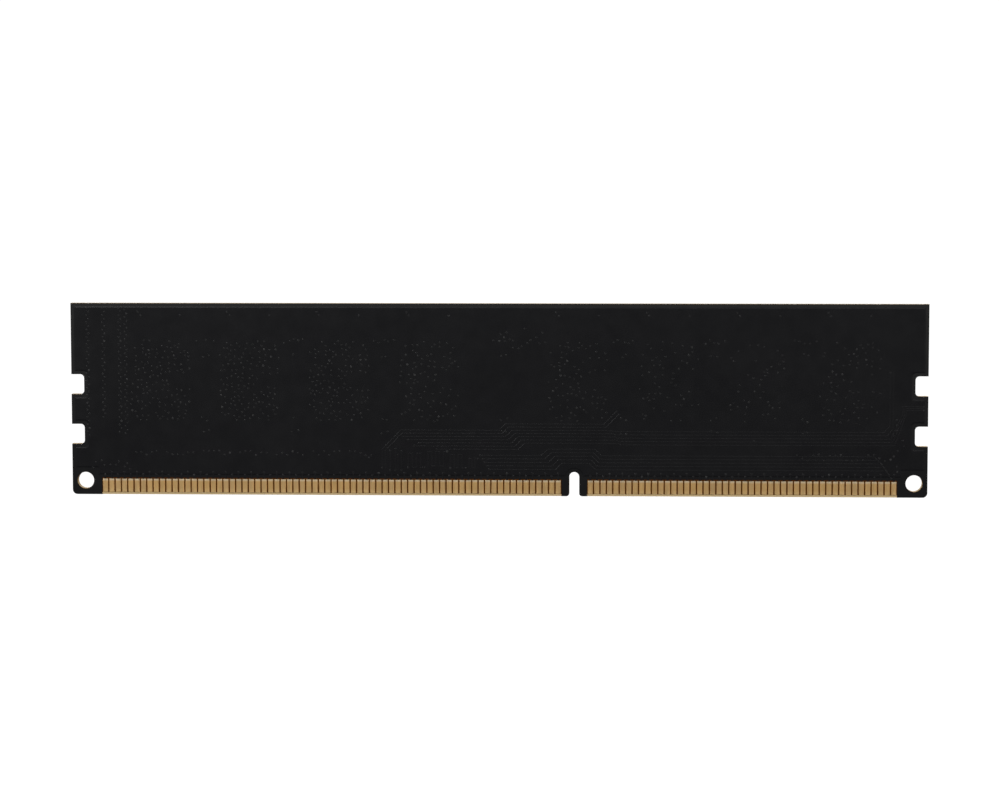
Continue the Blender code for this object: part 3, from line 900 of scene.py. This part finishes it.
class Nodes:
    """A material's node tree, with short calls for the nodes used here."""

    def __init__(self, name, colour, roughness, metallic=0.0, specular=0.5):
        self.material = bpy.data.materials.new(name)
        self.material.use_nodes = True
        self.tree = self.material.node_tree
        self.shader = self.tree.nodes["Principled BSDF"]
        self.shader.inputs["Base Color"].default_value = (*colour, 1.0)
        self.shader.inputs["Roughness"].default_value = roughness
        self.shader.inputs["Metallic"].default_value = metallic
        self.shader.inputs["Specular IOR Level"].default_value = specular
        self.place = self.tree.nodes.new("ShaderNodeTexCoord").outputs["Object"]

    def node(self, kind, **inputs):
        """A node with its inputs set or linked. An input is named, or is its number after an underscore."""
        made = self.tree.nodes.new(kind)
        for key, value in inputs.items():
            socket = made.inputs[int(key[1:])] if key[0] == "_" else made.inputs[key.replace("_", " ")]
            if isinstance(value, bpy.types.NodeSocket):
                self.tree.links.new(value, socket)
            else:
                socket.default_value = value
        return made

    def stretched(self, scale):
        """Millimetre coordinates, stretched by a scale for each axis."""
        made = self.node("ShaderNodeMapping", Vector=self.place)
        made.inputs["Scale"].default_value = [s / MM for s in scale]
        return made.outputs["Vector"]

    def noise(self, scale, detail=3.0, roughness=0.5):
        """Noise with a number of grains to the millimetre along each axis."""
        place = self.stretched(scale)
        made = self.node("ShaderNodeTexNoise", Vector=place, Scale=1.0, Detail=detail, Roughness=roughness)
        return made.outputs["Fac"]

    def height(self):
        """How far up the board, in metres."""
        return self.node("ShaderNodeSeparateXYZ", Vector=self.place).outputs["Z"]

    def ranged(self, value, low, high, start=0.3, end=0.7):
        """Low at start and high at end, and a straight ramp between."""
        made = self.node("ShaderNodeMapRange", Value=value)
        made.inputs["From Min"].default_value = start
        made.inputs["From Max"].default_value = end
        made.inputs["To Min"].default_value = low
        made.inputs["To Max"].default_value = high
        return made.outputs["Result"]

    def math(self, operation, a, b=0.0):
        """One sum on one or two values."""
        made = self.node("ShaderNodeMath", _0=a, _1=b)
        made.operation = operation
        return made.outputs["Value"]

    def mix(self, factor, a, b):
        """Colour a at factor 0 and colour b at factor 1."""
        made = self.tree.nodes.new("ShaderNodeMix")
        made.data_type = "RGBA"
        for socket, value in ((made.inputs[0], factor), (made.inputs[6], a), (made.inputs[7], b)):
            if isinstance(value, bpy.types.NodeSocket):
                self.tree.links.new(value, socket)
            else:
                socket.default_value = value if socket == made.inputs[0] else (*value, 1.0)
        return made.outputs[2]

    def bump(self, height, distance, strength):
        """Relief on the whole surface, with its height in millimetres."""
        made = self.node("ShaderNodeBump", Height=height, Strength=strength, Distance=distance * MM)
        self.tree.links.new(made.outputs["Normal"], self.shader.inputs["Normal"])

    def drive(self, name, output):
        """An output linked to an input of the shader."""
        self.tree.links.new(output, self.shader.inputs[name])


def mask_material(name, dark, light, glint=None, rim=None):
    """Satin black solder mask with faint mottling, fine texture and a few specks of dust. With a glint, a
    painted highlight, there is no dust, and each separate bump takes its own share of that colour, most of
    them very little.
    With a rim, the mask is painted lighter towards the top edge, as light from above would make it."""
    made = Nodes(name, dark, MASK_ROUGHNESS, specular=MASK_SPECULAR)
    colour = made.mix(made.ranged(made.noise([MOTTLING_GRAIN] * 3), 0.0, 1.0), dark, light)
    # Painted light: with a rim, the colour grows lighter towards the top edge, as light falling from above
    # would make it
    if rim is not None:
        top = BOARD_HIGH.z * MM
        light_from_above = made.ranged(made.height(), 0.0, 1.0, RIM_PAINTED_LIGHT_START * top, top)
        colour = made.mix(light_from_above, colour, rim)
    if glint is None:
        cells = made.node("ShaderNodeTexVoronoi", Vector=made.stretched([DUST_GRAIN] * 3), Scale=1.0)
        speck = made.ranged(cells.outputs["Distance"], 1.0, 0.0, *DUST_SIZE)
        lot = made.node("ShaderNodeSeparateColor", _0=cells.outputs["Color"]).outputs[0]
        chance = made.ranged(lot, 0.0, 1.0, *DUST_CHANCE)
        colour = made.mix(made.math("MULTIPLY", speck, chance), colour, DUST_COLOUR)
    else:
        # Painted highlight: by chance a few vias take a lighter colour that stands in for their glints
        island = made.node("ShaderNodeNewGeometry").outputs["Random Per Island"]
        colour = made.mix(made.math("POWER", island, GLINT_RARITY), colour, glint)
    made.drive("Base Color", colour)
    patches = made.noise([0.5] * 3, 5.0)
    made.drive("Roughness", made.ranged(patches, MASK_ROUGHNESS - 0.03, MASK_ROUGHNESS + 0.03))
    made.bump(made.noise([4.0] * 3, 4.0, 0.6), 0.003, 0.5)
    return made.material


def gold_material():
    """Hard gold plating: each contact a little different, with fine streaks along it, and paler at its ends
    with painted light: brighter low down as if lit from below, and a painted highlight at its top.
    """
    made = Nodes("contact_gold", (0.8, 0.52, 0.22), 0.38, 1.0)
    island = made.node("ShaderNodeNewGeometry").outputs["Random Per Island"]
    tint = made.mix(island, (0.93, 0.585, 0.235), (0.87, 0.575, 0.27))
    streaks = made.noise((9.0, 9.0, 0.5), 4.0, 0.6)
    worn = made.mix(made.ranged(streaks, 0.0, 0.5), tint, (0.74, 0.45, 0.17))
    height = made.height()
    # Painted light: the lower part of each contact is made brighter, as the white table below would light
    # it
    lower = made.ranged(height, 0.8, 0.0, 0.4 * MM, 1.1 * MM)
    brighter = made.mix(lower, worn, (0.98, 0.68, 0.31))
    # Painted highlight along the top end of each contact
    top_highlight = made.ranged(height, 0.0, 1.0, 2.05 * MM, 2.4 * MM)
    made.drive("Base Color", made.mix(top_highlight, brighter, (1.0, 0.84, 0.58)))
    made.drive("Roughness", made.ranged(streaks, 0.32, 0.46))
    made.bump(streaks, 0.003, 0.5)
    return made.material


def laminate_material():
    """Glass-and-resin laminate: dark resin on its faces, sawn plies at its edges, and a bevel painted
    paler, as if lit by the white table below.
    """
    made = Nodes("board_laminate", (0.45, 0.36, 0.22), 0.65, specular=0.05)
    place = made.node("ShaderNodeSeparateXYZ", Vector=made.place)
    depth = made.math("ABSOLUTE", place.outputs["Y"])
    on_face = made.math("GREATER_THAN", depth, (LAMINATE_FACE - 0.002) * MM)
    plies = made.math("SINE", made.math("MULTIPLY", place.outputs["Y"], 2 * math.pi / (PLY_PITCH * MM)))
    fibre = made.noise([7.0] * 3, 4.0, 0.7)
    ply = made.mix(made.ranged(plies, 0.0, 0.6, -1.0, 1.0), (0.21, 0.15, 0.075), (0.15, 0.105, 0.05))
    sawn = made.mix(made.ranged(fibre, 0.0, 0.5), ply, (0.29, 0.22, 0.13))
    resin = made.mix(made.ranged(fibre, 0.0, 1.0), (0.04, 0.012, 0.0005), (0.07, 0.022, 0.001))
    # Painted light: the bevel at the contact edge is painted pale, as the table below would light it
    low_down = made.math("LESS_THAN", place.outputs["Z"], CONTACT_BOTTOM * MM)
    bevel_lit_from_below = made.mix(low_down, sawn, (0.7, 0.52, 0.28))
    made.drive("Base Color", made.mix(on_face, bevel_lit_from_below, resin))
    made.bump(fibre, 0.01, 0.5)
    return made.material


def moulding_material():
    """Black epoxy moulding: matt, with the fine grain of its filler."""
    made = Nodes("epoxy_moulding", (0.02, 0.02, 0.021), 0.6, specular=0.35)
    grain = made.noise([14.0] * 3, roughness=0.7)
    cloud = made.ranged(made.noise([0.5] * 3), 0.0, 1.0)
    made.drive("Base Color", made.mix(cloud, (0.013, 0.013, 0.0135), (0.02, 0.02, 0.0205)))
    made.drive("Roughness", made.ranged(grain, 0.5, 0.68))
    made.bump(grain, 0.006, 0.7)
    return made.material


def speckled_material(name, dark, light, roughness, grain, metallic=0.0, bump=0.004):
    """A colour that varies between two, over a grain size in millimetres."""
    made = Nodes(name, dark, roughness, metallic)
    pattern = made.noise([1 / grain] * 3, 4.0, 0.6)
    made.drive("Base Color", made.mix(made.ranged(pattern, 0.0, 1.0), dark, light))
    made.drive("Roughness", made.ranged(pattern, roughness - 0.05, roughness + 0.08))
    made.bump(pattern, bump, 0.6)
    return made.material


# ---- stage


def make_camera():
    """A camera aimed at the middle of the board, turned and rolled a little as the photograph was."""
    yaw, pitch, roll = (math.radians(a) for a in (CAMERA_YAW, CAMERA_PITCH, CAMERA_ROLL))
    back = Vector((math.sin(yaw) * math.cos(pitch), -math.cos(yaw) * math.cos(pitch), math.sin(pitch)))
    right = (-back).cross(Vector((0, 0, 1))).normalized()
    up = back.cross(right)
    rolled_right = math.cos(roll) * right + math.sin(roll) * up
    rolled_up = math.cos(roll) * up - math.sin(roll) * right
    data = bpy.data.cameras.new("camera")
    data.lens = CAMERA_LENS
    data.sensor_width = 36.0
    data.clip_start = 0.01
    data.clip_end = 20.0
    camera = bpy.data.objects.new("camera", data)
    turn = Matrix((rolled_right, rolled_up, back)).transposed().to_4x4()
    place = (Vector(CAMERA_TARGET) + CAMERA_DISTANCE * back) * MM
    camera.matrix_world = Matrix.Translation(place) @ turn
    bpy.context.scene.collection.objects.link(camera)
    bpy.context.scene.camera = camera


def make_floor():
    """A plain white floor that gives its own light, like the backlit table of a product photograph."""
    half = FLOOR_HALF
    mesh = bpy.data.meshes.new("floor")
    places = [(-half, -half, 0), (half, -half, 0), (half, half, 0), (-half, half, 0)]
    mesh.from_pydata(places, [], [(0, 1, 2, 3)])
    material = bpy.data.materials.new("floor_white")
    material.use_nodes = True
    shader = material.node_tree.nodes["Principled BSDF"]
    shader.inputs["Base Color"].default_value = (0.02, 0.02, 0.02, 1.0)
    shader.inputs["Specular IOR Level"].default_value = 0.0
    shader.inputs["Emission Color"].default_value = (1.0, 1.0, 1.0, 1.0)
    shader.inputs["Emission Strength"].default_value = FLOOR_LIGHT
    mesh.materials.append(material)
    floor = bpy.data.objects.new("floor", mesh)
    floor.location.z = cad_box[0][2] - FLOOR_GAP * MM
    floor.visible_glossy = False
    floor.visible_diffuse = False
    bpy.context.scene.collection.objects.link(floor)


def make_world():
    """White behind the object; dim studio walls in what the object reflects, brighter overhead."""
    world = bpy.data.worlds.new("studio")
    world.use_nodes = True
    tree = world.node_tree
    tree.nodes.clear()
    output = tree.nodes.new("ShaderNodeOutputWorld")
    chooser = tree.nodes.new("ShaderNodeMixShader")
    path = tree.nodes.new("ShaderNodeLightPath")
    white = tree.nodes.new("ShaderNodeBackground")
    white.inputs["Color"].default_value = (1, 1, 1, 1)
    white.inputs["Strength"].default_value = WHITE_STRENGTH
    studio = tree.nodes.new("ShaderNodeBackground")
    place = tree.nodes.new("ShaderNodeTexCoord")
    split = tree.nodes.new("ShaderNodeSeparateXYZ")
    height = tree.nodes.new("ShaderNodeMapRange")
    height.inputs["From Min"].default_value = STUDIO_FROM
    height.inputs["From Max"].default_value = STUDIO_TO
    height.inputs["To Min"].default_value = STUDIO_LOW
    height.inputs["To Max"].default_value = STUDIO_HIGH
    tree.links.new(place.outputs["Generated"], split.inputs["Vector"])
    tree.links.new(split.outputs["Z"], height.inputs["Value"])
    tree.links.new(height.outputs["Result"], studio.inputs["Strength"])
    tree.links.new(path.outputs["Is Camera Ray"], chooser.inputs["Fac"])
    tree.links.new(studio.outputs["Background"], chooser.inputs[1])
    tree.links.new(white.outputs["Background"], chooser.inputs[2])
    tree.links.new(chooser.outputs["Shader"], output.inputs["Surface"])
    bpy.context.scene.world = world


def make_lights():
    """The soft area lights, each turned towards its aim."""
    for name, place, aim, size, power in LIGHTS:
        data = bpy.data.lights.new(name, "AREA")
        data.shape = "RECTANGLE"
        data.size, data.size_y = size[0] * MM, size[1] * MM
        data.energy = power
        light = bpy.data.objects.new(name, data)
        toward = Vector(aim) - Vector(place)
        light.location = Vector(place) * MM
        light.rotation_mode = "QUATERNION"
        light.rotation_quaternion = toward.to_track_quat("-Z", "Y")
        bpy.context.scene.collection.objects.link(light)


# ---- the module


def dress_cad_nodes(laminate, moulding, copper, silicon):
    """Materials for the CAD nodes that are shown as they are."""
    for name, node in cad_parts.items():
        if name == "circuit_board":
            made = laminate
        elif name.endswith("_mould"):
            made = moulding
        elif name.startswith("ground_copper"):
            made = copper
        elif name.endswith("_die"):
            made = silicon
        else:
            continue
        for slot in node.material_slots:
            slot.material = made


def main():
    """Materials first, then the module's pieces, then the stage."""
    random_source = random.Random(11)
    over_copper = mask_material("mask_over_copper", (0.0036, 0.0036, 0.0042), (0.0046, 0.0046, 0.0052))
    # The rim colour is painted light from above, reached at the board's top edge
    over_laminate = mask_material(
        "mask_over_laminate", (0.0044, 0.0044, 0.0048), (0.0052, 0.0052, 0.0056), rim=(0.011, 0.011, 0.011)
    )
    # Over traces the mask is painted a little lighter: a painted sheen that keeps the lines showing under
    # any light
    over_trace_painted_sheen = mask_material("mask_over_trace", (0.0047, 0.0047, 0.0053), (0.0057, 0.0057, 0.0063))
    # Over vias the mask is painted lighter as a painted highlight, and a few vias also get a painted glint
    over_via_painted_highlights = mask_material(
        "mask_over_via", (0.0062, 0.0062, 0.0066), (0.0076, 0.0076, 0.008), glint=(0.024, 0.024, 0.024)
    )
    gold = gold_material()
    laminate = laminate_material()
    moulding = moulding_material()
    copper = speckled_material("inner_copper", (0.72, 0.35, 0.2), (0.62, 0.3, 0.17), 0.4, 0.4, 1.0)
    silicon = speckled_material("silicon", (0.2, 0.2, 0.23), (0.24, 0.24, 0.26), 0.25, 1.0, 0.6)
    tin = speckled_material("solder_tin", (0.66, 0.66, 0.67), (0.8, 0.8, 0.79), 0.42, 0.2, 1.0, 0.006)
    substrate = speckled_material("chip_base", (0.016, 0.05, 0.022), (0.022, 0.07, 0.03), 0.4, 0.3)
    ceramic = speckled_material("capacitor_ceramic", (0.25, 0.16, 0.1), (0.34, 0.23, 0.15), 0.45, 0.15)
    glass = speckled_material("resistor_glass", (0.012, 0.012, 0.013), (0.02, 0.02, 0.021), 0.25, 0.2)
    alumina = speckled_material("alumina", (0.62, 0.61, 0.57), (0.74, 0.73, 0.7), 0.6, 0.1)

    dress_cad_nodes(laminate, moulding, copper, silicon)
    make_mask(BACK, [over_copper, over_laminate])
    make_mask(FRONT, [over_copper, over_laminate])
    make_contacts(gold)

    neck_traces, neck_vias = contact_necks()
    through = chip_vias(random_source) + stitching_vias() + loose_vias(random_source)
    back_lines = back_traces()
    line_ends = [line[i] for line in back_lines for i in (0, -1)]
    back_places = apart(line_ends + neck_vias + through, VIA_GAP)
    make_relief(BACK, back_places, back_lines + neck_traces, over_trace_painted_sheen, over_via_painted_highlights)
    make_scratches(over_laminate)

    tiny = tiny_part_boxes()
    part_nodes = ARRAY_NODES + SMALL_CAPACITOR_NODES + LARGE_CAPACITOR_NODES + ["identification_memory"]
    tiny_boxes = [(low, high) for low, high, _ in tiny]
    footprints = [corners(node) for node in part_nodes] + CHIP_BOXES + tiny_boxes
    front_places = clear_of(apart(neck_vias + through, VIA_GAP), footprints)
    make_relief(FRONT, front_places, front_traces() + neck_traces, over_trace_painted_sheen, over_via_painted_highlights)

    make_chip_bases(substrate, tin)
    make_capacitors(ceramic, tin, tiny)
    make_resistor_arrays(glass, alumina, tin)
    make_identification_memory(moulding, tin)

    make_floor()
    make_world()
    make_lights()
    make_camera()
    bpy.context.scene.view_settings.view_transform = "Standard"


main()
bpy.context.view_layer.update()
